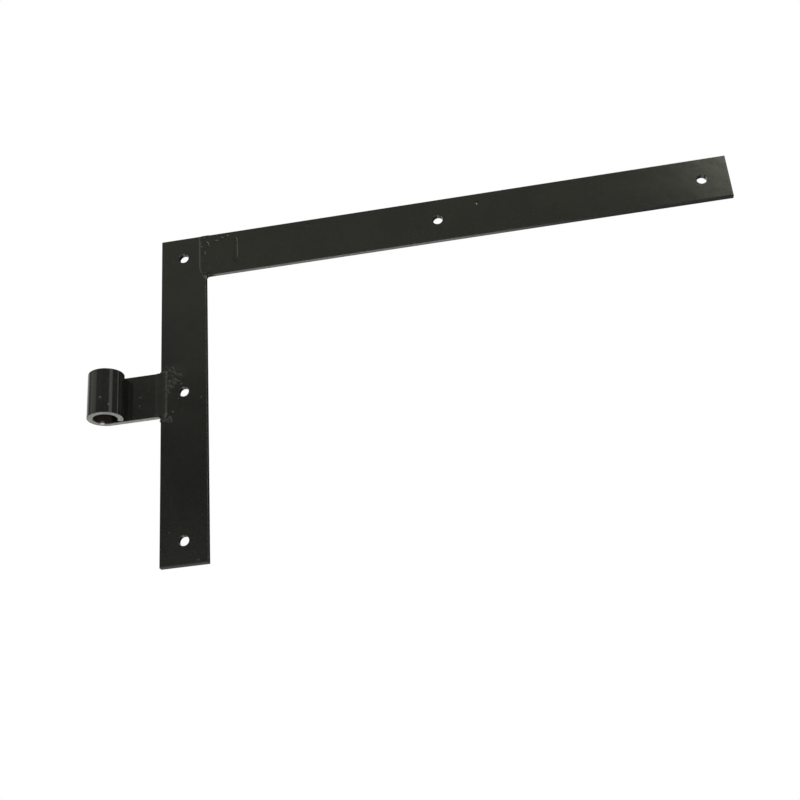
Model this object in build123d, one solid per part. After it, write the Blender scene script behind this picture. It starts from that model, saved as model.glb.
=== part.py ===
from build123d import *
import os
from math import asin, degrees, radians, tan

# Angle strap hinge of a shutter: two flat bars welded into an L, and a short strap rolled into an eye.
# Millimetres, +Z up as it hangs. The pin axis of the eye is the Z axis, with the origin halfway up the eye.
# The arm runs away from the eye along +X. The flat back, which lies on the shutter, faces +Y.

# Flat bar stock, the same for all three bars
bar_width = 30.0
bar_thickness = 4.0
rolled_edge_radius = 0.5
sheared_edge_radius = 1.0

# Lengths of the bars
upright_length = 224.0
arm_length = 340.0
eye_axis_to_upright = 33.0

# Rolled eye
bore_diameter = 14.5
seam_gap = 0.4

# Bolt holes
hole_diameter = 6.5
hole_deburr = 0.2
upright_hole_from_end = 15.0
arm_hole_from_root = 155.0
arm_hole_from_tip = 17.0

# Butt welds: a V groove filled flush from the front, with a bead that is steep on the upright
# and dressed down to nothing on the joined bar
weld_root_face = 1.0
weld_groove_half_angle = 40.0
weld_bead_height = 0.5
weld_bead_steep_width = 1.8
weld_bead_dressed_width = 6.0
weld_bead_from_joint = 2.6
weld_tail_from_joint = 0.9
weld_tail_rise = 5.5
weld_bead_turn_radius = 8.0
eye_weld_overrun = 3.3
weld_corner_leg = 1.2

# Places that follow from the sizes above
bore_radius = bore_diameter / 2
eye_outer_radius = bore_radius + bar_thickness
front_y = bore_radius
upright_left_x = eye_axis_to_upright
upright_right_x = upright_left_x + bar_width
upright_middle_x = upright_left_x + bar_width / 2
upright_foot_z = -upright_length / 2
upright_head_z = upright_length / 2
arm_low_z = upright_head_z - bar_width
arm_middle_z = upright_head_z - bar_width / 2
eye_low_z = -bar_width / 2
eye_high_z = bar_width / 2
groove_depth = bar_thickness - weld_root_face
groove_half_width = groove_depth * tan(radians(weld_groove_half_angle))


def bar_section():
    """Section of the hot-rolled bar: width along X, thickness along Y, its front face on the X axis."""
    return Pos(0, bar_thickness / 2) * RectangleRounded(bar_width, bar_thickness, rolled_edge_radius)


def flat_bar(length, foot_radius, head_radius):
    """Bar along +Z from its foot, front face at y = 0, with the front edge of each end rounded as given."""
    side = Rectangle(bar_thickness, length, align=(Align.MIN, Align.MIN))
    for end, radius in ((0, foot_radius), (length, head_radius)):
        if radius:
            front_corner = side.vertices().sort_by_distance((0, end, 0))[0]
            side = fillet(front_corner, radius)
    return extrude(bar_section(), length) & extrude(Plane.YZ * side, bar_width / 2, both=True)


def bolt_hole():
    """Cutter for a bolt hole along +Y from the front face, with both rims deburred."""
    radius = hole_diameter / 2
    rim = radius + hole_deburr
    half = Polygon(
        (0, 0),
        (rim, 0),
        (radius, hole_deburr),
        (radius, bar_thickness - hole_deburr),
        (rim, bar_thickness),
        (0, bar_thickness),
        align=None,
    )
    return revolve(half, Axis.Y)


def weld_groove(joint_x, low_z):
    """V groove across a butt joint, open at the front face, as tall as the bar is wide."""
    section = Polygon(
        (-groove_half_width, 0),
        (groove_half_width, 0),
        (0, groove_depth),
        align=None,
    )
    return Pos(joint_x, front_y, low_z) * extrude(section, bar_width)


def half_crown(width):
    """Half of a bead's section, from its crest at x = 0 down to its toe on the front face at y = 0."""
    radius = (width**2 + weld_bead_height**2) / (2 * weld_bead_height)
    crown = Pos(0, radius - weld_bead_height) * Circle(radius)
    return crown & Rectangle(2 * radius, 2 * radius, align=(Align.MIN, Align.MAX))


def across(place, heading):
    """Plane across a bead at a place on its path, with its y axis towards the back."""
    return Plane(place, x_dir=(heading.Z, 0, -heading.X), z_dir=heading)


def weld_bead(joint_x, low_z, upright_side, overrun):
    """Bead that swings from the joint's lower end on to the upright and runs up along it.

    An overrun carries both ends, rounded, past the joined bar on to the upright's face.
    """
    tail_x = joint_x + upright_side * weld_tail_from_joint
    crest_x = joint_x + upright_side * weld_bead_from_joint
    tail_z = low_z - overrun
    head_z = low_z + bar_width - rolled_edge_radius
    path = FilletPolyline(
        (tail_x, front_y, tail_z),
        (crest_x, front_y, tail_z + weld_tail_rise),
        (crest_x, front_y, head_z),
        radius=weld_bead_turn_radius,
    )
    steep = half_crown(weld_bead_steep_width)
    section = steep + mirror(half_crown(weld_bead_dressed_width), Plane.YZ)
    if upright_side < 0:
        section = mirror(section, Plane.YZ)
    start = across(path @ 0, path % 0)
    bead = sweep(start * section, path=path) + start * revolve(steep, Axis.Y, 180)
    if overrun:
        bead += across(path @ 1, path % 1 * -1) * revolve(steep, Axis.Y, 180)
    past_bar = Box(
        2 * bar_width,
        2 * weld_bead_height,
        bar_width,
        align=(Align.MAX if upright_side > 0 else Align.MIN, Align.CENTER, Align.MAX),
    )
    edge_x = joint_x + upright_side * rolled_edge_radius
    bead -= Pos(edge_x, front_y, low_z + rolled_edge_radius) * past_bar
    return bead - Pos(edge_x, front_y, head_z + bar_width) * past_bar


def weld_corner(joint_x, corner_z, side_x, side_z):
    """Small fillet of weld metal in the inner corner between two bars, as deep as their flat edges."""
    section = Polygon(
        (0, 0),
        (side_x * weld_corner_leg, 0),
        (0, side_z * weld_corner_leg),
        align=None,
    )
    depth = bar_thickness - 2 * rolled_edge_radius
    prism = extrude(Plane.XZ * section, depth, dir=(0, 1, 0))
    return Pos(joint_x, front_y + rolled_edge_radius, corner_z) * prism


def make_upright_bar():
    bar = Pos(upright_middle_x, front_y, upright_foot_z) * flat_bar(
        upright_length, sheared_edge_radius, rolled_edge_radius
    )
    for z in (
        upright_foot_z + upright_hole_from_end,
        0,
        upright_head_z - upright_hole_from_end,
    ):
        bar -= Pos(upright_middle_x, front_y, z) * bolt_hole()
    bar -= weld_groove(upright_right_x, arm_low_z)
    bar -= weld_groove(upright_left_x, eye_low_z)
    return bar


def make_arm_bar():
    lying = Rot(0, 90, 0) * flat_bar(arm_length, 0, sheared_edge_radius)
    bar = Pos(upright_right_x, front_y, arm_middle_z) * lying
    for from_root in (arm_hole_from_root, arm_length - arm_hole_from_tip):
        bar -= Pos(upright_right_x + from_root, front_y, arm_middle_z) * bolt_hole()
    bar -= weld_groove(upright_right_x, arm_low_z)
    return bar


def make_eye_strap():
    """Strap that lies along the back and then rolls forward round the pin until its end meets the strap."""
    upright_section = Rot(0, 90, 0) * bar_section()
    section = Pos(0, front_y, 0) * upright_section
    strap = extrude(section, eye_axis_to_upright, dir=(1, 0, 0))
    end_angle = degrees(asin((front_y - seam_gap) / eye_outer_radius))
    three_quarter_turn = 270
    eye = revolve(section, Axis.Z, three_quarter_turn + end_angle)
    return strap + eye - weld_groove(upright_left_x, eye_low_z)


def make_arm_weld():
    weld = weld_groove(upright_right_x, arm_low_z) + weld_bead(upright_right_x, arm_low_z, -1, 0)
    return weld + weld_corner(upright_right_x, arm_low_z, 1, -1)


def make_eye_weld():
    weld = weld_groove(upright_left_x, eye_low_z)
    weld += weld_bead(upright_left_x, eye_low_z, 1, eye_weld_overrun)
    weld += weld_corner(upright_left_x, eye_low_z, -1, -1)
    return weld + weld_corner(upright_left_x, eye_high_z, -1, 1)


nodes = {
    "upright_bar": make_upright_bar(),
    "arm_bar": make_arm_bar(),
    "eye_strap": make_eye_strap(),
    "arm_weld": make_arm_weld(),
    "eye_weld": make_eye_weld(),
}

os.makedirs("parts", exist_ok=True)
for name, shape in nodes.items():
    export_step(shape, f"parts/{name}.step")
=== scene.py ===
"""Looks of an angle strap hinge: satin black paint over welded flat bar, on a white studio stage."""

import math
import random

import bpy
from bpy.props import FloatProperty, FloatVectorProperty, PointerProperty
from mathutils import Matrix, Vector


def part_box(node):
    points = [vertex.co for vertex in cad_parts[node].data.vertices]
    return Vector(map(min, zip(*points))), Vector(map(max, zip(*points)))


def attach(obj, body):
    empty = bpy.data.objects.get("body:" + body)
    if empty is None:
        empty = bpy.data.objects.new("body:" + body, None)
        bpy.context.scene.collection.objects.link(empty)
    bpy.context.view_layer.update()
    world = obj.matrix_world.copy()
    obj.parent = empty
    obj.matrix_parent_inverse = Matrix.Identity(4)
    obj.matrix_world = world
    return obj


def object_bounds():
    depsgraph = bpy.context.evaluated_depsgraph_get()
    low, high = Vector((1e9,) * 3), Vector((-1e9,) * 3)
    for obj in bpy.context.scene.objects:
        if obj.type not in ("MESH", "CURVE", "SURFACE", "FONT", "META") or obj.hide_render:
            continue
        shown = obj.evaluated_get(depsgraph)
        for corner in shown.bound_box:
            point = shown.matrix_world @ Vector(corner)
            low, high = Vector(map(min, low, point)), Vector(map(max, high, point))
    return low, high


bl_info = {
    "name": "Angle strap hinge finish",
    "version": (1, 1, 0),
    "blender": (4, 5, 0),
    "location": "3D View > Sidebar > Hinge",
    "description": "Paints a welded strap hinge, adds its weld and paint marks and sets a white stage",
    "category": "Object",
}

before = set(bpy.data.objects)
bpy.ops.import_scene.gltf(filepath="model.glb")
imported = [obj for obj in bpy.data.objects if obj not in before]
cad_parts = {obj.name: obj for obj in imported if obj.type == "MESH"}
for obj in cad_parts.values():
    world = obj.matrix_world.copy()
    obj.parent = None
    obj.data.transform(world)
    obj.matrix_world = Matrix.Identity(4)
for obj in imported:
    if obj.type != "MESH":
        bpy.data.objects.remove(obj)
cad_low, cad_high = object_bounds()

BODY = "root"
UPRIGHT_FINISH = "upright_paint"
ARM_FINISH = "arm_paint"
EYE_FINISH = "eye_paint"
WELD_FINISH = "painted_weld"
CRUST_FINISH = "painted_crust"
MM = 0.001
WHITE = (1.0, 1.0, 1.0, 1.0)
SMOOTH_ANGLE = math.radians(50)

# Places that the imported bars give
upright_low, upright_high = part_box("upright_bar")
arm_low, arm_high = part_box("arm_bar")
eye_low, eye_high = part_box("eye_strap")
front = upright_low.y
bar_width = upright_high.x - upright_low.x

# The strap's front and back run on round the pin axis, at the origin, as the eye's bore and outside
bore_radius = front
eye_radius = upright_high.y

# Weld beads: the joint along X, the way from it to the upright, the joined bar's lower edge,
# and how far below that edge the bead starts
BEADS = {
    "arm_weld": (upright_high.x, -1, arm_low.z, 0.0),
    "eye_weld": (upright_low.x, 1, eye_low.z, 3.3 * MM),
}

# In the rows of marks below, places and sizes are in millimetres and angles in degrees

# Last drop of each bead on the front face: X, Z, radius, and how far it sags to face downwards
WELD_DROPS = ((62.7, 80.0, 1.3, 45), (35.3, -18.0, 1.1, 35))

# Crater where the arm's bead ends: X, Z and radius
WELD_CRATER = (61.9, 82.2, 1.9)

# Ridges that the welder left: X, Z, half width, half height, how far the foot stands off the face, and spin
WELD_RIDGES = (
    (62.9, 99.3, 0.55, 2.6, 0.35, 0),
    (65.5, 105.1, 0.5, 2.2, 0.08, 0),
    (62.8, 110.0, 1.4, 0.6, 0.35, -6),
    (71.3, 106.8, 1.6, 0.8, 0.0, -6),
    (75.1, 108.4, 1.3, 0.8, 0.0, -6),
    (78.6, 109.4, 1.2, 0.8, 0.0, -6),
    (36.8, -13.7, 0.9, 3.5, 0.18, 17),
)

# Spatter on the front face: X, Z and radius
SPATTER = (
    (43.0, 12.7, 0.9),
    (43.8, 8.4, 0.9),
    (41.0, 11.8, 0.6),
    (46.6, 5.4, 0.7),
    (39.1, 16.3, 0.6),
    (59.3, -5.3, 0.5),
    (41.1, -13.0, 0.8),
    (37.4, 12.7, 0.5),
    (41.7, 16.6, 0.7),
    (31.3, 4.6, 0.5),
    (44.4, -4.3, 0.4),
)

# Rough crust beside the eye's weld: left, right, low and high of a patch, and its number of lumps
CRUST_PATCHES = (
    (35.5, 42.5, -1.0, 18.5, 16),
    (41.0, 45.5, 6.0, 15.0, 8),
    (35.5, 40.0, -22.0, -16.5, 3),
)

# Paint nibs on the front of the upright's foot and of the strap: X, Z and radius
FACE_NIBS = (
    (57.0, -110.0, 0.8),
    (55.2, -105.2, 0.4),
    (38.8, -91.2, 0.4),
    (19.6, -0.3, 0.7),
    (19.3, -6.0, 0.5),
)

# Paint nibs on the eye's outside: angle round the pin from +X, Z and radius
EYE_NIBS = ((274.0, -5.0, 0.7), (303.0, -10.0, 0.9))

# Dents in the arm's front: X, Z, half width and half height
ARM_DENTS = ((244.8, 104.8, 1.3, 2.2), (132.9, 107.9, 1.2, 1.8))

# Unevenness of ripples: shares of their size and of their pitch
RIPPLE_SEED = 5
RIPPLE_SIZES = (0.95, 1.04)
RIPPLE_STEPS = (0.9, 1.1)

# Unevenness of spatter and crust: shares of the lean, radii in millimetres, and shares of that radius
SPATTER_SEED = 11
SPATTER_LEANS = (0.7, 1.2)
CRUST_RADII = (0.7, 1.5)
CRUST_HEIGHTS = (0.20, 0.36)
CRUST_STRETCHES = (0.8, 1.4)

# Depth of a drop's root in the bar, as a multiple of the drop's height: a leaning drop needs a deep one
FLAT_ROOT = 1.0
LEANING_ROOT = 4.0

# Grain of rolled steel: its streaks are drawn out along each axis with the small factor
DRAWN_OUT = 0.03
GRAIN_ALONG_X = (DRAWN_OUT, 1.0, 1.0)
GRAIN_ALONG_Z = (1.0, 1.0, DRAWN_OUT)
GRAIN_ROUND_PIN = (DRAWN_OUT, DRAWN_OUT, 1.0)
NO_GRAIN = (1.0, 1.0, 1.0)

# Dull paint on a sheared end: how far from the end it is full and where it has faded out
SHEAR_FULL = 0.6 * MM
SHEAR_FADE = 1.2 * MM

# Panels of light round the hinge: low and high azimuth with a soft edge, then low and high elevation
# with a soft edge, in degrees, where azimuth is 0 in front of the hinge and grows to the right
PANELS = {
    "key": ((13.5, 50, 1.5), (32, 62, 2)),
    "window": ((-85, -41, 6), (-10, 60, 6)),
    "strip": ((42.5, 61.5, 2), (-40, 28, 2)),
    "side": ((100.5, 110, 1.5), (0, 50, 3)),
}


class Value:
    """A shader value: a node's output socket that takes part in plain arithmetic."""

    def __init__(self, shader, socket):
        self.shader = shader
        self.socket = socket

    def _maths(self, operation, *terms):
        inputs = dict(enumerate(terms))
        return self.shader.add("ShaderNodeMath", {"operation": operation}, inputs).out()

    def __add__(self, other):
        return self._maths("ADD", self, other)

    def __radd__(self, other):
        return self._maths("ADD", other, self)

    def __sub__(self, other):
        return self._maths("SUBTRACT", self, other)

    def __rsub__(self, other):
        return self._maths("SUBTRACT", other, self)

    def __mul__(self, other):
        return self._maths("MULTIPLY", self, other)

    def __rmul__(self, other):
        return self._maths("MULTIPLY", other, self)

    def __abs__(self):
        return self._maths("ABSOLUTE", self)

    def at_least(self, other):
        return self._maths("MAXIMUM", self, other)

    def angle_from(self, other):
        return self._maths("ARCTAN2", self, other)

    def arcsine(self):
        return self._maths("ARCSINE", self)

    def root(self):
        return self._maths("SQRT", self)

    def ramp(self, start, end):
        """0 at start and 1 at end, smoothly, clamped outside them."""
        settings = {"interpolation_type": "SMOOTHSTEP", "clamp": True}
        inputs = {"Value": self, "From Min": start, "From Max": end}
        return self.shader.add("ShaderNodeMapRange", settings, inputs).out()

    def just_past(self, limit, full, fade):
        """1 up to the full distance past a limit, falling smoothly to 0 at the fade distance past it."""
        return self.ramp(limit + fade, limit + full)

    def just_before(self, limit, full, fade):
        """0 up to the fade distance before a limit, rising smoothly to 1 at the full distance before it."""
        return self.ramp(limit - fade, limit - full)

    def near(self, place, reach):
        """1 at the place, falling smoothly to 0 at that reach to either side."""
        return abs(self - place).ramp(reach, 0.0)

    def between(self, low, high, soft):
        """1 between two limits, with soft edges."""
        return self.ramp(low - soft, low + soft) * self.ramp(high + soft, high - soft)


class Added:
    """A node that was added to a shader, with its outputs as values."""

    def __init__(self, shader, node):
        self.shader = shader
        self.node = node

    def out(self, name=0):
        return Value(self.shader, self.node.outputs[name])


class Shader:
    """A node tree under construction."""

    # Numbers of the sockets that a Mix node uses for colours
    MIX_FACTOR = 0
    MIX_FIRST = 6
    MIX_SECOND = 7
    MIX_RESULT = 2

    def __init__(self, tree):
        self.tree = tree
        tree.nodes.clear()

    def add(self, kind, settings=None, inputs=None):
        """Adds a node: its settings are set first, then each socket gets a value or a link."""
        node = self.tree.nodes.new(kind)
        for name, value in (settings or {}).items():
            setattr(node, name, value)
        for name, value in (inputs or {}).items():
            if isinstance(value, Value):
                self.tree.links.new(value.socket, node.inputs[name])
            else:
                node.inputs[name].default_value = value
        return Added(self, node)

    def parts(self, vector):
        """The three parts of a vector."""
        split = self.add("ShaderNodeSeparateXYZ", inputs={"Vector": vector})
        return split.out("X"), split.out("Y"), split.out("Z")

    def stretch(self, vector, factors):
        """The vector squeezed along each axis, so that a pattern on it is drawn out there."""
        inputs = {0: vector, 1: factors}
        return self.add("ShaderNodeVectorMath", {"operation": "MULTIPLY"}, inputs).out()

    def distance(self, vector, place):
        """Distance from a place."""
        inputs = {0: vector, 1: place}
        return self.add("ShaderNodeVectorMath", {"operation": "DISTANCE"}, inputs).out("Value")

    def noise(self, vector, size, detail=2.0, roughness=0.5):
        """Noise from 0 to 1 whose features are about that size."""
        inputs = {"Vector": vector, "Scale": 1 / size, "Detail": detail, "Roughness": roughness}
        return self.add("ShaderNodeTexNoise", inputs=inputs).out("Fac")

    def specks(self, vector, size, share):
        """Small round specks, one in that share of the cells of that size."""
        soft = 0.02
        cells = self.add("ShaderNodeTexVoronoi", inputs={"Vector": vector, "Scale": 1 / size})
        chance = self.parts(cells.out("Color"))[0]
        return cells.out("Distance").ramp(start=0.2, end=0.1) * chance.ramp(share + soft, share)

    def mix(self, factor, first, second):
        """Colour between two colours."""
        inputs = {self.MIX_FACTOR: factor, self.MIX_FIRST: first, self.MIX_SECOND: second}
        return self.add("ShaderNodeMix", {"data_type": "RGBA"}, inputs).out(self.MIX_RESULT)


def opaque(colour):
    """The colour with full alpha."""
    return (*colour, 1.0)


def length(name, description, default):
    """A length that a user would change, in metres."""
    return FloatProperty(
        name=name, description=description, subtype="DISTANCE", precision=6, default=default
    )


def angle(name, description, degrees):
    """An angle that a user would change, given in degrees."""
    return FloatProperty(
        name=name, description=description, subtype="ANGLE", default=math.radians(degrees)
    )


def colour(name, description, default):
    """A colour that a user would change."""
    return FloatVectorProperty(name=name, description=description, subtype="COLOR", default=default)


def factor(name, description, default):
    """A share from 0 to 1 that a user would change."""
    return FloatProperty(
        name=name, description=description, subtype="FACTOR", min=0, max=1, default=default
    )


def level(name, description, default):
    """A brightness that a user would change, where 1 is white."""
    return FloatProperty(name=name, description=description, min=0, default=default)


class HingePaint(bpy.types.PropertyGroup):
    """Colours, gloss and relief of the painted steel."""

    paint: colour("Paint", "Black paint", (0.0120, 0.0123, 0.0104))
    dust: colour("Dust", "Dust and fine grit in the paint", (0.060, 0.058, 0.048))
    worn: colour("Worn edge", "Paint rubbed thin along an edge", (0.040, 0.039, 0.034))
    bore: colour("Bore", "Thin brownish paint inside the eye", (0.050, 0.036, 0.036))
    # The steel colour also serves bare steel put in as painted glints and painted sheen on the undersides,
    # the bore's rim and the arm's last drop
    steel: colour("Steel", "Bare steel where the paint is rubbed off", (0.60, 0.59, 0.57))
    roughness: factor("Roughness", "Blur of reflections in the paint", 0.15)
    eye_roughness: factor("Eye roughness", "Blur of reflections in the paint on the eye", 0.12)
    weld_roughness: factor("Weld roughness", "Blur of reflections in the paint over the welds", 0.22)
    crust_roughness: factor("Crust roughness", "Blur of reflections in the paint over the crust", 0.57)
    peel: length("Orange peel", "Height of the paint's fine texture", 0.010 * MM)
    mill_scale: length("Mill scale", "Height of the rolled steel's unevenness", 0.030 * MM)
    crust: length("Weld crust", "Height of the rough crust beside the eye's weld", 0.35 * MM)
    dent: length("Dent depth", "Depth of the two dents in the arm", 0.20 * MM)
    edge_reach: length("Edge wear", "How far wear reaches from an edge", 0.7 * MM)


class HingeMarks(bpy.types.PropertyGroup):
    """Sizes of what the welder and the painter left on the steel."""

    ripple_pitch: length("Ripple pitch", "Distance between weld ripples", 1.25 * MM)
    ripple_half_width: length("Ripple half width", "Half of a ripple's width across the bead", 1.5 * MM)
    ripple_half_length: length("Ripple half length", "Half of a ripple's length along the bead", 1.0 * MM)
    ripple_height: length("Ripple height", "Top of a ripple above the bar's face", 0.56 * MM)
    crest_from_joint: length("Crest", "Distance of the bead's crest from the joint", 2.6 * MM)
    tail_from_joint: length("Tail", "Distance of the bead's lower end from the joint", 0.9 * MM)
    tail_rise: length("Tail rise", "Height over which the bead swings on to the upright", 5.5 * MM)
    drop_height: factor("Drop height", "Height of a drop as a share of its radius", 0.40)
    drop_stand: length("Drop stand", "How far a bead's last drop stands off the face", 0.45 * MM)
    drop_lean: angle("Drop lean", "How far drops lean to the right", 23)
    drop_tilt: angle("Drop tilt", "How far drops face upwards", 8)
    ridge_height: factor("Ridge height", "Height of a ridge as a share of its smaller half width", 0.26)
    crater_height: factor("Crater height", "Height of the end crater as a share of its radius", 0.55)
    nib_height: factor("Nib height", "Height of a paint nib as a share of its radius", 0.35)
    lip_steep: length("Lip, outside", "Width of the steep outer side of the patch's lip", 0.7 * MM)
    lip_gentle: length("Lip, inside", "Width of the gentle inner side of the patch's lip", 2.6 * MM)
    lip_height: length("Lip height", "Height of the lip round the dressed patch", 0.28 * MM)
    patch_left: length("Patch, left", "Left edge of the dressed patch on the arm", 66.0 * MM)
    patch_right: length("Patch, right", "Right edge of the dressed patch on the arm", 84.9 * MM)
    patch_low: length("Patch, low", "Lower edge of the dressed patch on the arm", 86.6 * MM)
    patch_high: length("Patch, high", "Upper edge of the dressed patch on the arm", 109.4 * MM)
    patch_corner: length("Patch corner", "Corner radius of the dressed patch", 5.0 * MM)


class HingeStage(bpy.types.PropertyGroup):
    """Camera, light and floor."""

    camera_place: FloatVectorProperty(
        name="Camera",
        description="Where the camera stands",
        subtype="TRANSLATION",
        default=(0.2570, -0.6018, -0.2962),
    )
    camera_turn: FloatVectorProperty(
        name="Camera turn",
        description="How the camera is turned",
        subtype="EULER",
        default=(math.radians(113.8735), math.radians(4.5197), math.radians(8.8711)),
    )
    camera_lens: FloatProperty(
        name="Lens", description="Focal length", subtype="DISTANCE_CAMERA", default=49.96
    )
    floor_drop: length("Floor", "How far the floor lies below the foot", 0.80)
    floor_middle: length("Floor middle", "Where the middle of the floor lies along X", 0.2)
    floor_size: length("Floor size", "Side of the floor", 2.4)
    floor_glow: factor("Floor white", "How much of the floor's white is its own", 0.75)
    room_low: level("Room, low", "Brightness of the room at eye height", 0.097)
    room_high: level("Room, high", "Brightness of the room above", 0.357)
    skirting: level("Skirting", "Extra brightness of the room near the floor", 0.17)
    room_tint: colour("Room tint", "Colour of the light from above", (0.99, 1.0, 0.82))
    key: level("Key", "Brightness of the key panel", 4.5)
    window: level("Window", "Brightness of the panel on the left", 0.45)
    strip: level("Strip", "Brightness of the narrow panel", 0.95)
    side: level("Side", "Brightness of the panel on the right", 2.0)
    backdrop: level("Backdrop", "Brightness of the white backdrop behind and below", 1.0)
    shade: level("Shade", "Brightness of the shaded corner", 0.045)
    softbox_place: FloatVectorProperty(
        name="Softbox",
        description="Where the softbox hangs",
        subtype="TRANSLATION",
        default=(0.2, -0.5, 1.6),
    )
    softbox_power: FloatProperty(
        name="Softbox power", description="Power of the softbox overhead", unit="POWER", default=12.0
    )
    softbox_size: length("Softbox size", "Side of the softbox overhead", 1.0)


class Finish:
    """The paint of one material while it is worked up: colour, gloss, bare metal and relief."""

    def __init__(self, name, settings, grain, roughness):
        """Satin black paint over rolled steel with that grain."""
        self.material = bpy.data.materials.new(name)
        self.material.use_nodes = True
        self.shader = Shader(self.material.node_tree)
        self.settings = settings
        self.vector = self.shader.add("ShaderNodeTexCoord").out("Object")
        self.x, self.y, self.z = self.shader.parts(self.vector)
        cloud = self.noise(size=26 * MM, detail=3.0)
        mottle = self.noise(size=3 * MM, detail=3.0)
        streak = self.shader.noise(self.shader.stretch(self.vector, grain), size=1.4 * MM)
        grit = self.shader.specks(self.vector, size=1.8 * MM, share=0.3)
        peel = self.noise(size=1.5 * MM)
        scale = self.noise(size=8 * MM, detail=1.0)
        spread = 0.15
        deep = [(1 - spread) * part for part in settings.paint]
        pale = [(1 + spread) * part for part in settings.paint]
        shift = (0.6 * cloud + 0.4 * mottle).ramp(start=0.35, end=0.65)
        self.colour = self.shader.mix(shift, opaque(deep), opaque(pale))
        self.tint(0.3 * grit, settings.dust)
        mean = 0.5
        self.roughness = roughness + 0.05 * (cloud - mean) + 0.03 * (streak - mean) + 0.12 * grit
        self.metal = 0.0
        self.relief = settings.peel * peel + settings.mill_scale * scale
        self.raise_by(0.2 * settings.peel * (streak + grit))

    def noise(self, size, detail=2.0, roughness=0.5):
        """Noise over the surface, from 0 to 1, whose features are about that size."""
        return self.shader.noise(self.vector, size, detail, roughness)

    def on_front(self):
        """1 on the flat front, 0 on the edges and the back."""
        return self.y.just_past(front, full=0.2 * MM, fade=0.6 * MM)

    def tint(self, mask, shade):
        self.colour = self.shader.mix(mask, self.colour, opaque(shade))

    def dull(self, mask, by):
        self.roughness = self.roughness + by * mask

    def raise_by(self, height):
        self.relief = self.relief + height

    def bare(self, mask):
        """Bare steel where the mask is 1."""
        self.tint(mask, self.settings.steel)
        self.metal = mask
        self.dull(mask, by=0.1)

    def rub(self, mask):
        """Paint rubbed thin and dull where the mask is 1, in broken patches."""
        patches = self.noise(size=2.2 * MM, detail=4.0, roughness=0.65)
        rubbed = mask * patches.ramp(start=0.40, end=0.62)
        self.tint(rubbed, self.settings.worn)
        self.dull(rubbed, by=0.08)

    def limits(self, part, low, high):
        """1 at either limit of a bar along one axis."""
        reach = self.settings.edge_reach
        at_low = part.just_past(low, full=0.0, fade=reach)
        at_high = part.just_before(high, full=0.0, fade=reach)
        return at_low.at_least(at_high)

    def rub_edges(self, low, high):
        """Wear along the edges of a bar between two corners of its box."""
        x = self.limits(self.x, low.x, high.x)
        y = self.limits(self.y, low.y, high.y)
        z = self.limits(self.z, low.z, high.z)
        self.rub((x * y).at_least(x * z).at_least(y * z))

    def close(self):
        """Joins colour, gloss, metal and relief into the material."""
        relief = {"Strength": 1.0, "Distance": 1.0, "Height": self.relief}
        bump = self.shader.add("ShaderNodeBump", inputs=relief)
        surface = self.shader.add(
            "ShaderNodeBsdfPrincipled",
            inputs={
                "Base Color": self.colour,
                "Metallic": self.metal,
                "IOR": 1.55,
                "Roughness": self.roughness,
                "Normal": bump.out("Normal"),
            },
        )
        self.shader.add("ShaderNodeOutputMaterial", inputs={"Surface": surface.out("BSDF")})
        return self.material


def flat_distance(across, up, place_across, place_up):
    """Distance from a place, in a plane."""
    across = across - place_across
    up = up - place_up
    return (across * across + up * up).root()


def upright_paint(settings):
    """Paint of the upright, with a rough crust beside the eye's weld, a dull foot and worn edges."""
    finish = Finish(UPRIGHT_FINISH, settings, GRAIN_ALONG_Z, settings.roughness)
    crust_x = 41 * MM
    crust_z = 10 * MM
    crust_core = 4 * MM
    crust_reach = 11 * MM
    crusted = flat_distance(finish.x, finish.z, crust_x, crust_z).ramp(crust_reach, crust_core)
    crusted = crusted * finish.on_front()
    lumps = finish.noise(size=2.6 * MM)
    finish.raise_by(settings.crust * crusted * lumps)
    finish.dull(crusted, by=0.04)
    foot = finish.z.just_past(upright_low.z, full=SHEAR_FULL, fade=SHEAR_FADE)
    finish.dull(foot, by=0.35)
    finish.rub_edges(upright_low, upright_high)
    return finish.close()


def scratch_patch(finish, marks):
    """Scratches on the patch of the arm that was dressed with a grinder."""
    patch = finish.x.between(marks.patch_left, marks.patch_right - marks.lip_gentle, soft=0.6 * MM)
    patch = patch * finish.z.between(marks.patch_low, marks.patch_high, soft=0.8 * MM)
    patch = patch * finish.on_front()
    stroke_x = 0.8
    stroke_z = 0.6
    along = stroke_x * finish.x + stroke_z * finish.z
    across = stroke_x * finish.z - stroke_z * finish.x
    drawn_out = 0.05
    strokes = finish.shader.add("ShaderNodeCombineXYZ", inputs={"X": drawn_out * along, "Z": across}).out()
    scratches = finish.shader.noise(strokes, size=0.7 * MM, detail=3.0, roughness=0.6)
    depth = 0.5 * finish.settings.peel
    finish.raise_by(depth * patch * scratches)
    finish.dull(patch, by=0.02)


def underside_wear_and_sheen(finish):
    """Underside of the arm: sooty in the inner corner, dull on its rolled edge, and bare steel towards the
    root that is partly rubbed paint and partly painted sheen.
    """
    under = finish.z.just_past(arm_low.z, full=0.05 * MM, fade=0.2 * MM)
    soot = under * finish.x.ramp(start=70 * MM, end=65 * MM)
    finish.dull(soot, by=0.7)
    rolled_edge = finish.z.just_past(arm_low.z, full=0.35 * MM, fade=0.5 * MM)
    rolled_edge = rolled_edge * finish.y.just_past(front, full=0.9 * MM, fade=1.1 * MM)
    finish.dull(rolled_edge, by=0.6)
    patches = finish.noise(size=1.6 * MM, detail=3.0).ramp(start=0.3, end=0.7)
    # Bare steel fading out away from the root: partly rubbed paint, partly a painted sheen where light from
    # below would brighten the underside
    sheen_towards_root = finish.x.ramp(start=295 * MM, end=215 * MM)
    rubbed = under * sheen_towards_root * (1 - soot) * (1 - rolled_edge)
    finish.bare(rubbed * (0.10 + 0.12 * patches))


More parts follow.
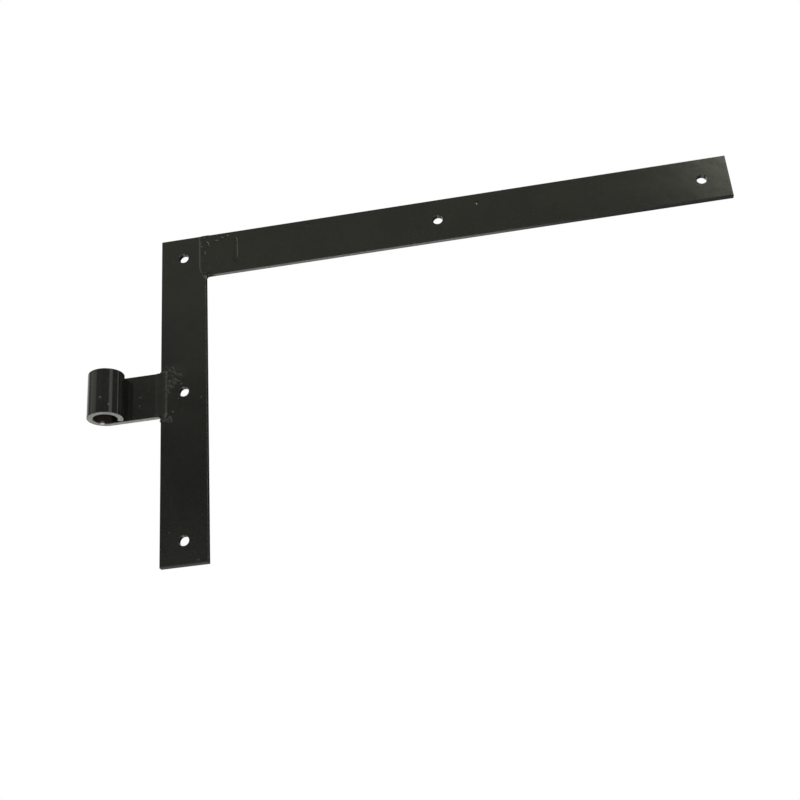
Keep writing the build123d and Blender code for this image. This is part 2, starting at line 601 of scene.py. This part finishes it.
def arm_paint(settings, marks):
    """Paint of the arm, with the dressed patch beside the weld, two dents, a dull tip and worn edges."""
    finish = Finish(ARM_FINISH, settings, GRAIN_ALONG_X, settings.roughness)
    scratch_patch(finish, marks)
    on_front = finish.on_front()
    for x, z, half_width, half_height in ARM_DENTS:
        dent = finish.x.near(x * MM, half_width * MM) * finish.z.near(z * MM, half_height * MM)
        finish.raise_by(-settings.dent * dent * on_front)
    underside_wear_and_sheen(finish)
    tip = finish.x.just_before(arm_high.x, full=SHEAR_FULL, fade=SHEAR_FADE)
    finish.dull(tip, by=0.2)
    welded_root = 10 * MM
    finish.rub_edges(Vector((arm_low.x - welded_root, arm_low.y, arm_low.z)), arm_high)
    return finish.close()


def eye_paint(settings):
    """Paint of the rolled eye and its strap: worn on the rims, brownish in the bore, bare steel below as
    wear and painted sheen, and a painted glint at the bore's lower rim.
    """
    finish = Finish(EYE_FINISH, settings, GRAIN_ROUND_PIN, settings.eye_roughness)
    radius = flat_distance(finish.x, finish.y, 0.0, 0.0)
    on_strap = finish.x.ramp(start=0.0, end=0.1 * MM)
    on_strap = on_strap * finish.y.just_before(front, full=0.1 * MM, fade=0.3 * MM)
    through = radius * (1 - on_strap) + finish.y * on_strap
    at_face = finish.limits(through, bore_radius, eye_radius)
    at_end = finish.limits(finish.z, eye_low.z, eye_high.z)
    finish.rub(at_face * at_end)
    in_bore = radius.just_past(bore_radius, full=0.05 * MM, fade=0.2 * MM)
    drawn_out = 0.08
    along_pin = finish.shader.stretch(finish.vector, (1.0, 1.0, drawn_out))
    scoring = finish.shader.noise(along_pin, size=0.9 * MM, detail=3.0)
    finish.tint(in_bore * (0.5 + 0.5 * scoring), settings.bore)
    finish.dull(in_bore, by=0.2)
    finish.raise_by(2.0 * settings.peel * in_bore * scoring)
    # Bare steel on the bottom faces of the eye and strap: partly wear from the pin's shoulder, partly a
    # painted sheen in place of light reflected from below
    bearing_wear_and_sheen = finish.z.just_past(eye_low.z, full=0.03 * MM, fade=0.1 * MM)
    bearing_wear_and_sheen = bearing_wear_and_sheen * radius.ramp(bore_radius + 0.4 * MM, bore_radius + 0.7 * MM)
    patches = finish.noise(size=1.6 * MM, detail=3.0).ramp(start=0.3, end=0.7)
    # Painted glint: a bare steel spot at the bore's lower rim, put there to shine as a highlight
    glint_spot_place = Vector((-4.3 * MM, 6.0 * MM, eye_low.z + 0.5 * MM))
    glint_spot = finish.shader.distance(finish.vector, glint_spot_place).ramp(start=1.5 * MM, end=1.1 * MM)
    finish.bare((bearing_wear_and_sheen * (0.22 + 0.25 * patches)).at_least(glint_spot))
    return finish.close()


def weld_paint(name, settings, roughness):
    """Paint over weld metal: lumps, pores, a crater ring, a dull head and a barely painted last drop whose
    bare steel is a painted glint.
    """
    finish = Finish(name, settings, NO_GRAIN, roughness)
    lumps = finish.noise(size=0.9 * MM, detail=3.0)
    pores = finish.shader.specks(finish.vector, size=2.4 * MM, share=0.15)
    lump_height = 0.02 * MM
    pore_depth = 0.05 * MM
    finish.raise_by(lump_height * lumps - pore_depth * pores)
    finish.tint(0.6 * pores, settings.dust)
    crater_x = 62.4 * MM
    crater_z = 104.6 * MM
    crater_radius = 2.5 * MM
    ring_half_width = 0.7 * MM
    ring_height = 0.12 * MM
    ring = flat_distance(finish.x, finish.z, crater_x, crater_z).near(crater_radius, ring_half_width)
    finish.raise_by(ring_height * ring)
    head_x = 35.6 * MM
    head_z = 17.0 * MM
    head_core = 2.0 * MM
    head_reach = 3.5 * MM
    head = flat_distance(finish.x, finish.z, head_x, head_z).ramp(head_reach, head_core)
    finish.dull(head, by=0.3)
    # Painted glint: a little bare steel on the arm's last drop makes its lower side shine
    drop_x, drop_z, drop_radius, _ = WELD_DROPS[0]
    glint_drop = flat_distance(finish.x, finish.z, drop_x * MM, drop_z * MM)
    finish.bare(0.1 * glint_drop.ramp(start=drop_radius * MM, end=0.8 * drop_radius * MM))
    return finish.close()


def give_material(node, material):
    """Gives a packed bar or weld its material."""
    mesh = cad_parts[node].data
    mesh.materials.clear()
    mesh.materials.append(material)


class HINGE_OT_paint_bars(bpy.types.Operator):
    """Paint the upright, the arm and the rolled eye"""

    bl_idname = "hinge.paint_bars"
    bl_label = "Paint the bars"

    def execute(self, context):
        paint = context.scene.hinge_paint
        give_material("upright_bar", upright_paint(paint))
        give_material("arm_bar", arm_paint(paint, context.scene.hinge_marks))
        give_material("eye_strap", eye_paint(paint))
        return {"FINISHED"}


class HINGE_OT_paint_welds(bpy.types.Operator):
    """Paint both welds and mix the rougher paint of their spatter and crust"""

    bl_idname = "hinge.paint_welds"
    bl_label = "Paint the welds"

    def execute(self, context):
        paint = context.scene.hinge_paint
        weld_paint(CRUST_FINISH, paint, paint.crust_roughness)
        material = weld_paint(WELD_FINISH, paint, paint.weld_roughness)
        for node in BEADS:
            give_material(node, material)
        return {"FINISHED"}


def pick_vertices(piece, test):
    """Goes into edit mode with only those vertices selected whose place passes the test."""
    bpy.ops.object.mode_set(mode="EDIT")
    bpy.ops.mesh.select_mode(type="VERT")
    bpy.ops.mesh.select_all(action="DESELECT")
    bpy.ops.object.mode_set(mode="OBJECT")
    for vertex in piece.data.vertices:
        vertex.select = test(vertex.co)
    bpy.ops.object.mode_set(mode="EDIT")


def half_ball(segments, rings):
    """A pattern to copy, bulging to the front: a ball of radius 1, cut off and closed behind its middle."""
    cut = 0.2
    bpy.ops.object.select_all(action="DESELECT")
    bpy.ops.mesh.primitive_uv_sphere_add(
        segments=segments, ring_count=rings, radius=1.0, location=(0, 0, 0)
    )
    piece = bpy.context.object
    bpy.ops.object.mode_set(mode="EDIT")
    bpy.ops.mesh.select_all(action="SELECT")
    bpy.ops.mesh.bisect(plane_co=(0, cut, 0), plane_no=(0, 1, 0), use_fill=True, clear_outer=True)
    bpy.ops.object.mode_set(mode="OBJECT")
    return piece


def drop(root_depth):
    """A drop that has wetted the steel: a half ball with a flared foot and a root in the bar."""
    foot_from = -0.28
    flare = 1.18
    rim_from = 0.19
    piece = half_ball(segments=20, rings=12)
    pick_vertices(piece, lambda place: place.y > foot_from)
    bpy.ops.transform.resize(value=(flare, 1.0, flare), center_override=(0, 0, 0))
    pick_vertices(piece, lambda place: place.y > rim_from)
    bpy.ops.transform.translate(value=(0, root_depth, 0))
    bpy.ops.object.mode_set(mode="OBJECT")
    return piece


def crater():
    """The ring that is left where a weld pass stops: a drop with its middle sunk."""
    middle_from = -0.8
    sink = 0.6
    piece = drop(FLAT_ROOT)
    pick_vertices(piece, lambda place: place.y < middle_from)
    bpy.ops.transform.translate(value=(0, sink, 0))
    bpy.ops.object.mode_set(mode="OBJECT")
    return piece


def face_place(x, z, stand=0.0):
    """Place on the front face from X and Z in millimetres, standing off it by a distance in metres."""
    return (x * MM, front - stand, z * MM)


def round_size(radius, height_share):
    """Size of a round lump from its radius in millimetres and its height as a share of that."""
    return (radius * MM, height_share * radius * MM, radius * MM)


def copy_to(pattern, place, size, turn=(0, 0, 0)):
    """A copy of the pattern with a mesh of its own, spun in the face first and then tilted."""
    bpy.ops.object.select_all(action="DESELECT")
    pattern.select_set(True)
    bpy.context.view_layer.objects.active = pattern
    bpy.ops.object.duplicate(linked=False)
    copy = bpy.context.object
    copy.location = place
    copy.scale = size
    copy.rotation_mode = "YXZ"
    copy.rotation_euler = turn
    return copy


def join(name, copies):
    """The copies as one smooth piece whose place is in its mesh."""
    bpy.ops.object.select_all(action="DESELECT")
    for copy in copies:
        copy.select_set(True)
    bpy.context.view_layer.objects.active = copies[0]
    bpy.ops.object.transform_apply(location=True, rotation=True, scale=True)
    bpy.ops.object.join()
    piece = bpy.context.object
    piece.name = name
    bpy.ops.object.transform_apply(location=True, rotation=True, scale=True)
    bpy.ops.object.shade_smooth_by_angle(angle=SMOOTH_ANGLE)
    return piece


def hand_over(piece, finish):
    """Gives a piece its material and the body that carries it."""
    piece.data.materials.clear()
    piece.data.materials.append(bpy.data.materials[finish])
    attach(piece, BODY)


def bead_at(rise, marks):
    """Distance of a bead's crest from the joint and its lean, at a height above the bead's lower end."""
    swing = marks.crest_from_joint - marks.tail_from_joint
    share = min(rise / marks.tail_rise, 1.0)
    lean = math.atan2(swing, marks.tail_rise) if share < 1.0 else 0.0
    return marks.tail_from_joint + swing * share, lean


class HINGE_OT_lay_ripples(bpy.types.Operator):
    """Lay the ripples along both weld beads"""

    bl_idname = "hinge.lay_ripples"
    bl_label = "Lay the weld ripples"

    def execute(self, context):
        marks = context.scene.hinge_marks
        chance = random.Random(RIPPLE_SEED)
        pattern = half_ball(segments=16, rings=8)
        size = (marks.ripple_half_width, marks.ripple_height, marks.ripple_half_length)
        for node, (joint_x, side, low_z, overrun) in BEADS.items():
            run = bar_width + overrun - marks.ripple_pitch
            copies = []
            rise = 0.0
            while rise < run:
                from_joint, lean = bead_at(rise, marks)
                place = (joint_x + side * from_joint, front, low_z - overrun + rise)
                uneven = [part * chance.uniform(*RIPPLE_SIZES) for part in size]
                copies.append(copy_to(pattern, place, uneven, (0, side * lean, 0)))
                rise += marks.ripple_pitch * chance.uniform(*RIPPLE_STEPS)
            hand_over(join(f"{node}_ripples", copies), WELD_FINISH)
        bpy.data.objects.remove(pattern)
        return {"FINISHED"}


class HINGE_OT_end_beads(bpy.types.Operator):
    """End each bead in a drop that sags at its lower end, the arm's with a crater above it"""

    bl_idname = "hinge.end_beads"
    bl_label = "End the weld beads"

    def execute(self, context):
        marks = context.scene.hinge_marks
        pattern = drop(LEANING_ROOT)
        ends = []
        for x, z, radius, sag in WELD_DROPS:
            place = face_place(x, z, marks.drop_stand)
            size = round_size(radius, marks.drop_height)
            ends.append(copy_to(pattern, place, size, (math.radians(sag), 0, 0)))
        bpy.data.objects.remove(pattern)
        ring = crater()
        x, z, radius = WELD_CRATER
        ends.append(copy_to(ring, face_place(x, z), round_size(radius, marks.crater_height)))
        bpy.data.objects.remove(ring)
        hand_over(join("weld_end_drops", ends), WELD_FINISH)
        return {"FINISHED"}


class HINGE_OT_leave_ridges(bpy.types.Operator):
    """Leave short ridges of weld metal beside the joints and at the top of the dressed patch"""

    bl_idname = "hinge.leave_ridges"
    bl_label = "Leave the weld ridges"

    def execute(self, context):
        marks = context.scene.hinge_marks
        pattern = drop(LEANING_ROOT)
        ridges = []
        for x, z, half_width, half_height, foot, spin in WELD_RIDGES:
            height = marks.ridge_height * min(half_width, half_height)
            size = (half_width * MM, height * MM, half_height * MM)
            turn = (-marks.drop_tilt, math.radians(spin), marks.drop_lean)
            ridges.append(copy_to(pattern, face_place(x, z, foot * MM), size, turn))
        hand_over(join("weld_ridges", ridges), CRUST_FINISH)
        bpy.data.objects.remove(pattern)
        return {"FINISHED"}


class HINGE_OT_drop_spatter(bpy.types.Operator):
    """Drop weld spatter on the faces and the rough crust beside the eye's weld"""

    bl_idname = "hinge.drop_spatter"
    bl_label = "Drop the weld spatter"

    def execute(self, context):
        marks = context.scene.hinge_marks
        chance = random.Random(SPATTER_SEED)
        pattern = drop(LEANING_ROOT)
        drops = []
        for x, z, radius in SPATTER:
            lean = marks.drop_lean * chance.uniform(*SPATTER_LEANS)
            turn = (-marks.drop_tilt, chance.uniform(0, math.pi), lean)
            drops.append(copy_to(pattern, face_place(x, z), round_size(radius, marks.drop_height), turn))
        hand_over(join("weld_spatter", drops), CRUST_FINISH)
        lumps = []
        for left, right, low, high, count in CRUST_PATCHES:
            for _ in range(count):
                place = face_place(chance.uniform(left, right), chance.uniform(low, high))
                radius = chance.uniform(*CRUST_RADII) * MM
                height = radius * chance.uniform(*CRUST_HEIGHTS)
                size = (radius, height, radius * chance.uniform(*CRUST_STRETCHES))
                lumps.append(copy_to(pattern, place, size, (0, chance.uniform(0, math.pi), 0)))
        hand_over(join("weld_crust", lumps), CRUST_FINISH)
        bpy.data.objects.remove(pattern)
        return {"FINISHED"}


class HINGE_OT_leave_nibs(bpy.types.Operator):
    """Leave nibs in the paint of the upright's foot, the strap and the eye"""

    bl_idname = "hinge.leave_nibs"
    bl_label = "Leave the paint nibs"

    def execute(self, context):
        marks = context.scene.hinge_marks
        pattern = drop(FLAT_ROOT)
        nibs = []
        for x, z, radius in FACE_NIBS:
            nibs.append(copy_to(pattern, face_place(x, z), round_size(radius, marks.nib_height)))
        for degrees, z, radius in EYE_NIBS:
            round_pin = math.radians(degrees)
            place = (eye_radius * math.cos(round_pin), eye_radius * math.sin(round_pin), z * MM)
            turn = (0, 0, round_pin + math.pi / 2)
            nibs.append(copy_to(pattern, place, round_size(radius, marks.nib_height), turn))
        hand_over(join("paint_nibs", nibs), UPRIGHT_FINISH)
        bpy.data.objects.remove(pattern)
        return {"FINISHED"}


def patch_ring(marks, middle_x, middle_z):
    """Start of the lip: a ring of faces round the dressed patch, steep outside and gentle inside."""
    sink = 0.02 * MM
    corner_steps = 8
    bpy.ops.object.select_all(action="DESELECT")
    bpy.ops.mesh.primitive_plane_add(size=1.0, rotation=(math.pi / 2, 0, 0))
    lip = bpy.context.object
    lip.location = (middle_x, front + sink, middle_z)
    lip.scale = (marks.patch_right - marks.patch_left, marks.patch_high - marks.patch_low, 1.0)
    bpy.ops.object.transform_apply(location=True, rotation=True, scale=True)
    bpy.ops.object.mode_set(mode="EDIT")
    bpy.ops.mesh.select_all(action="SELECT")
    bpy.ops.mesh.bevel(offset=marks.patch_corner, segments=corner_steps, affect="VERTICES")
    bpy.ops.mesh.select_mode(type="FACE")
    bpy.ops.mesh.select_all(action="SELECT")
    bpy.ops.mesh.inset(thickness=marks.lip_steep, depth=marks.lip_height)
    bpy.ops.mesh.inset(thickness=marks.lip_gentle, depth=-marks.lip_height)
    bpy.ops.mesh.delete(type="FACE")
    bpy.ops.object.mode_set(mode="OBJECT")
    return lip


def sink_vertices(piece, test, depth):
    """Moves those vertices back whose place passes the test."""
    pick_vertices(piece, test)
    bpy.ops.transform.translate(value=(0, depth, 0))
    bpy.ops.object.mode_set(mode="OBJECT")


class HINGE_OT_raise_lip(bpy.types.Operator):
    """Raise the lip that the grinder left round the dressed patch on the arm"""

    bl_idname = "hinge.raise_lip"
    bl_label = "Raise the lip of the dressed patch"

    def execute(self, context):
        marks = context.scene.hinge_marks
        middle_x = (marks.patch_left + marks.patch_right) / 2
        middle_z = (marks.patch_low + marks.patch_high) / 2
        crest = front - marks.lip_height / 2
        corner = 2 * MM
        shoulder = marks.patch_high - marks.patch_corner - 4 * MM
        fade = 0.9 * marks.lip_height
        shoulder_fade = 0.55 * marks.lip_height
        smooth_levels = 2
        wall = 0.1 * MM

        def off_right_side(place):
            on_side = marks.patch_low + corner < place.z < marks.patch_high - corner
            return place.y < crest and not (on_side and place.x > middle_x)

        def on_shoulder(place):
            return place.y < crest and place.x > middle_x and place.z > shoulder

        lip = patch_ring(marks, middle_x, middle_z)
        lip.name = "dressed_patch_lip"
        sink_vertices(lip, off_right_side, fade)
        smooth = lip.modifiers.new("smooth", "SUBSURF")
        smooth.levels = smooth_levels
        smooth.render_levels = smooth_levels
        bpy.ops.object.modifier_apply(modifier=smooth.name)
        sink_vertices(lip, on_shoulder, shoulder_fade)
        body = lip.modifiers.new("body", "SOLIDIFY")
        body.thickness = wall
        body.offset = -1.0
        bpy.ops.object.modifier_apply(modifier=body.name)
        bpy.ops.object.shade_smooth_by_angle(angle=SMOOTH_ANGLE)
        hand_over(lip, ARM_FINISH)
        return {"FINISHED"}


def room_light(settings, azimuth, elevation, overhead):
    """Brightness of a dim room with a paler ceiling and skirting, and panels of light on its walls."""
    left_wall = 0.12 * azimuth.ramp(start=-12, end=-18)
    zenith = 0.8 * elevation.ramp(start=66, end=76)
    skirting = settings.skirting * elevation.ramp(start=18.5, end=15)
    gap = 0.35 * azimuth.between(-38, -25, soft=2) * elevation.between(27, 60, soft=2)
    room = settings.room_low + (settings.room_high - settings.room_low) * overhead
    room = room * (1 + left_wall) * (1 - zenith)
    room = (room + skirting) * (1 - gap)
    panels = {}
    for name, (across, tall) in PANELS.items():
        panels[name] = azimuth.between(*across) * elevation.between(*tall)
    brighter_foot = 1.3 * elevation.ramp(start=12, end=4)
    panels["strip"] = panels["strip"] * (1 + brighter_foot)
    for name, panel in panels.items():
        room = room + getattr(settings, name) * panel
    return room


def studio_world(settings):
    """White as the camera sees it; for light and reflections a dim room with soft panels of light."""
    world = bpy.data.worlds.new("studio")
    bpy.context.scene.world = world
    world.use_nodes = True
    shader = Shader(world.node_tree)
    east, north, up = shader.parts(shader.add("ShaderNodeTexCoord").out("Generated"))
    azimuth = east.angle_from(0 - north) * math.degrees(1)
    elevation = up.arcsine() * math.degrees(1)
    higher_on_right = 3 * azimuth.ramp(start=-5, end=10)
    overhead = (elevation - higher_on_right).ramp(start=22, end=30)
    below = elevation.ramp(start=-18.5, end=-22)
    behind_left = azimuth.ramp(start=-95, end=-120)
    behind_right = azimuth.ramp(start=125, end=150)
    straight_behind = azimuth.ramp(start=173.5, end=180)
    floor_light = 0.135 + 0.60 * straight_behind
    card_top = 0.85 * elevation.ramp(start=-6, end=4)
    shade = settings.shade + floor_light * below
    card = settings.shade + (settings.backdrop - settings.shade) * below + card_top
    lit = room_light(settings, azimuth, elevation, overhead)
    lit = lit * (1 - behind_right) + shade * behind_right
    lit = lit * (1 - behind_left) + card * behind_left
    path = shader.add("ShaderNodeLightPath")
    seen = path.out("Is Camera Ray").at_least(path.out("Is Transmission Ray"))
    seen = seen.at_least(path.out("Is Glossy Ray") * behind_left * below)
    tint = shader.mix(overhead, WHITE, opaque(settings.room_tint))
    inputs = {"Color": shader.mix(seen, tint, WHITE), "Strength": lit * (1 - seen) + seen}
    background = shader.add("ShaderNodeBackground", inputs=inputs)
    shader.add("ShaderNodeOutputWorld", inputs={"Surface": background.out()})


def floor_paint(settings):
    """Pale matt floor that is seen as near white, fading to white towards its rim, and takes a shadow."""
    material = bpy.data.materials.new("floor_white")
    material.use_nodes = True
    shader = Shader(material.node_tree)
    pale = {"Base Color": (0.9, 0.9, 0.9, 1.0), "Roughness": 0.9}
    matt = shader.add("ShaderNodeBsdfPrincipled", inputs=pale).out("BSDF")
    glow = shader.add("ShaderNodeEmission", inputs={"Color": WHITE, "Strength": 1.0}).out()
    path = shader.add("ShaderNodeLightPath")
    seen = path.out("Is Camera Ray").at_least(path.out("Is Glossy Ray"))
    seen = seen.at_least(path.out("Is Transmission Ray"))
    x, y, _ = shader.parts(shader.add("ShaderNodeTexCoord").out("Object"))
    rim = flat_distance(x, y, 0.0, 0.0).ramp(start=0.5, end=1.15)
    white = (settings.floor_glow + (1 - settings.floor_glow) * rim) * seen
    mixed = shader.add("ShaderNodeMixShader", inputs={0: white, 1: matt, 2: glow})
    shader.add("ShaderNodeOutputMaterial", inputs={"Surface": mixed.out()})
    return material


def lay_floor(settings):
    """Plain pale floor, well below the hinge."""
    place = (settings.floor_middle, 0, cad_low.z - settings.floor_drop)
    bpy.ops.object.select_all(action="DESELECT")
    bpy.ops.mesh.primitive_plane_add(size=settings.floor_size, location=place)
    floor = bpy.context.object
    floor.name = "floor"
    floor.data.materials.append(floor_paint(settings))


def hang_softbox(settings):
    """Soft square light overhead, a little in front of the hinge and aimed at its middle."""
    lamp = bpy.data.lights.new("softbox", "AREA")
    lamp.shape = "SQUARE"
    lamp.size = settings.softbox_size
    lamp.energy = settings.softbox_power
    softbox = bpy.data.objects.new("softbox", lamp)
    softbox.location = settings.softbox_place
    softbox.visible_glossy = False
    aim = (cad_low + cad_high) / 2 - Vector(settings.softbox_place)
    softbox.rotation_euler = aim.to_track_quat("-Z", "Y").to_euler()
    bpy.context.scene.collection.objects.link(softbox)


def place_camera(settings):
    """Camera at the photograph's viewing angle."""
    lens = bpy.data.cameras.new("camera")
    lens.lens = settings.camera_lens
    camera = bpy.data.objects.new("camera", lens)
    camera.location = settings.camera_place
    camera.rotation_euler = settings.camera_turn
    bpy.context.scene.collection.objects.link(camera)
    bpy.context.scene.camera = camera


class HINGE_OT_set_stage(bpy.types.Operator):
    """Set the light, the floor and the camera"""

    bl_idname = "hinge.set_stage"
    bl_label = "Set the stage"

    def execute(self, context):
        settings = context.scene.hinge_stage
        context.scene.view_settings.view_transform = "Standard"
        studio_world(settings)
        lay_floor(settings)
        hang_softbox(settings)
        place_camera(settings)
        return {"FINISHED"}


class HINGE_PT_panel(bpy.types.Panel):
    """Steps of the finish"""

    bl_idname = "HINGE_PT_panel"
    bl_label = "Hinge"
    bl_space_type = "VIEW_3D"
    bl_region_type = "UI"
    bl_category = "Hinge"

    def draw(self, context):
        for step in STEPS:
            self.layout.operator(step.bl_idname)


STEPS = (
    HINGE_OT_paint_bars,
    HINGE_OT_paint_welds,
    HINGE_OT_lay_ripples,
    HINGE_OT_end_beads,
    HINGE_OT_leave_ridges,
    HINGE_OT_drop_spatter,
    HINGE_OT_leave_nibs,
    HINGE_OT_raise_lip,
    HINGE_OT_set_stage,
)
CLASSES = (HingePaint, HingeMarks, HingeStage, *STEPS, HINGE_PT_panel)


def register():
    for item in CLASSES:
        bpy.utils.register_class(item)
    bpy.types.Scene.hinge_paint = PointerProperty(type=HingePaint)
    bpy.types.Scene.hinge_marks = PointerProperty(type=HingeMarks)
    bpy.types.Scene.hinge_stage = PointerProperty(type=HingeStage)


def unregister():
    del bpy.types.Scene.hinge_stage
    del bpy.types.Scene.hinge_marks
    del bpy.types.Scene.hinge_paint
    for item in reversed(CLASSES):
        bpy.utils.unregister_class(item)


def main():
    register()
    bpy.ops.hinge.paint_bars()
    bpy.ops.hinge.paint_welds()
    bpy.ops.hinge.lay_ripples()
    bpy.ops.hinge.end_beads()
    bpy.ops.hinge.leave_ridges()
    bpy.ops.hinge.drop_spatter()
    bpy.ops.hinge.leave_nibs()
    bpy.ops.hinge.raise_lip()
    bpy.ops.hinge.set_stage()


if __name__ == "__main__":
    main()
